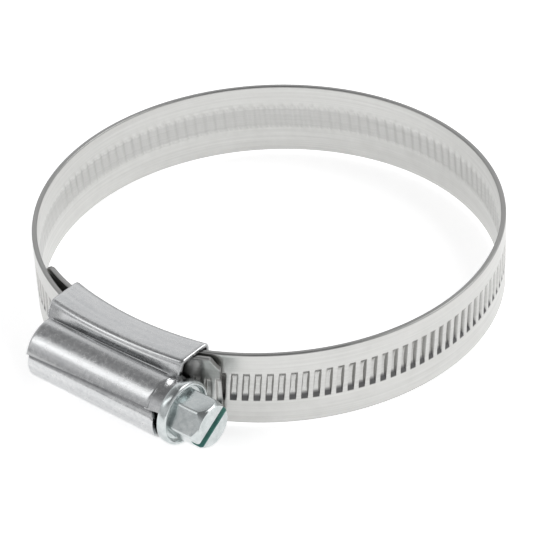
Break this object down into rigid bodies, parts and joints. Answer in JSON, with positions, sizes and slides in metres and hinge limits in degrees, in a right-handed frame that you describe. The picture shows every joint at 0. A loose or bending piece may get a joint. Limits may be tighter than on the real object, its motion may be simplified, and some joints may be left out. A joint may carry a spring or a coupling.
{
  "type": "hose clamp",
  "caption": "Worm-drive hose clamp, fully open: pressed steel band ring, wrapped screw housing and slotted hexagon worm screw.",
  "frame": {"origin": "middle of the open ring, on its axis and at half the band's width", "axes": "+Z along the ring's axis; the housing is on the -Y side; +X along the screw, towards its head"},
  "size_m": [0.076, 0.0848, 0.0146],
  "materials": {
    "band_zinc": "satin zinc plate",
    "housing_zinc": "satin zinc plate, softly polished on the bends",
    "screw_zinc": "bright blue-passivated zinc"
  },
  "bodies": {
    "housing": {"housing": "housing_zinc", "fixed_end": "band_zinc"},
    "screw": {"worm_screw": "screw_zinc"},
    "tail": {"band_tail": "band_zinc"},
    "ring_1": {"ring_link_01": "band_zinc", "ring_link_02": "band_zinc", "ring_link_03": "band_zinc"},
    "ring_2": {"ring_link_04": "band_zinc", "ring_link_05": "band_zinc", "ring_link_06": "band_zinc"},
    "ring_3": {"ring_link_07": "band_zinc", "ring_link_08": "band_zinc", "ring_link_09": "band_zinc"},
    "ring_4": {"ring_link_10": "band_zinc", "ring_link_11": "band_zinc", "ring_link_12": "band_zinc"},
    "ring_5": {"ring_link_13": "band_zinc", "ring_link_14": "band_zinc", "ring_link_15": "band_zinc"},
    "ring_6": {"ring_link_16": "band_zinc", "ring_link_17": "band_zinc", "ring_link_18": "band_zinc"},
    "ring_7": {"ring_link_19": "band_zinc", "ring_link_20": "band_zinc", "ring_link_21": "band_zinc"},
    "ring_8": {"ring_link_22": "band_zinc", "ring_link_23": "band_zinc", "ring_link_24": "band_zinc"},
    "entry": {"entry_link": "band_zinc"}
  },
  "joints": [
    {"name": "screw_spin", "type": "hinge", "parent": "housing", "child": "screw", "pos_m": [0, -0.0417, 0.0004], "axis": [-1, 0, 0], "range_deg": [0, 5760]},
    {"name": "tail_pull", "type": "hinge", "parent": "housing", "child": "tail", "pos_m": [0.00122, 0.00028, 0], "axis": [0, 0, 1], "range_deg": [0, 42]},
    {"name": "flex_1", "type": "hinge", "parent": "tail", "child": "ring_1", "pos_m": [-0.03589, -0.00981, 0], "axis": [0, 0, -1], "range_deg": [0, 6.24]},
    {"name": "flex_2", "type": "hinge", "parent": "ring_1", "child": "ring_2", "pos_m": [-0.03549, 0.01115, 0], "axis": [0, 0, -1], "range_deg": [0, 5.85]},
    {"name": "flex_3", "type": "hinge", "parent": "ring_2", "child": "ring_3", "pos_m": [-0.02387, 0.02854, 0], "axis": [0, 0, -1], "range_deg": [0, 3.28]},
    {"name": "flex_4", "type": "hinge", "parent": "ring_3", "child": "ring_4", "pos_m": [-0.0047, 0.0369, 0], "axis": [0, 0, -1], "range_deg": [0, 2.53]},
    {"name": "flex_5", "type": "hinge", "parent": "ring_4", "child": "ring_5", "pos_m": [0.01595, 0.03361, 0], "axis": [0, 0, -1], "range_deg": [0, 3.01]},
    {"name": "flex_6", "type": "hinge", "parent": "ring_5", "child": "ring_6", "pos_m": [0.03156, 0.01969, 0], "axis": [0, 0, -1], "range_deg": [0, 4.13]},
    {"name": "flex_7", "type": "hinge", "parent": "ring_6", "child": "ring_7", "pos_m": [0.0372, -0.00045, 0], "axis": [0, 0, -1], "range_deg": [0, 5.3]},
    {"name": "flex_8", "type": "hinge", "parent": "ring_7", "child": "ring_8", "pos_m": [0.03107, -0.02045, 0], "axis": [0, 0, -1], "range_deg": [0, 5.94]},
    {"name": "flex_9", "type": "hinge", "parent": "ring_8", "child": "entry", "pos_m": [0.01513, -0.03398, 0], "axis": [0, 0, -1], "range_deg": [0, 3.84]}
  ],
  "couplings": [
    {"joint": "tail_pull", "follows": "screw_spin", "ratio": 0.0072895},
    {"joint": "flex_1", "follows": "screw_spin", "ratio": 0.0010823},
    {"joint": "flex_2", "follows": "screw_spin", "ratio": 0.0010147},
    {"joint": "flex_3", "follows": "screw_spin", "ratio": 0.00056866},
    {"joint": "flex_4", "follows": "screw_spin", "ratio": 0.00043821},
    {"joint": "flex_5", "follows": "screw_spin", "ratio": 0.00052125},
    {"joint": "flex_6", "follows": "screw_spin", "ratio": 0.0007157},
    {"joint": "flex_7", "follows": "screw_spin", "ratio": 0.00091949},
    {"joint": "flex_8", "follows": "screw_spin", "ratio": 0.0010305},
    {"joint": "flex_9", "follows": "screw_spin", "ratio": 0.00066632}
  ]
}
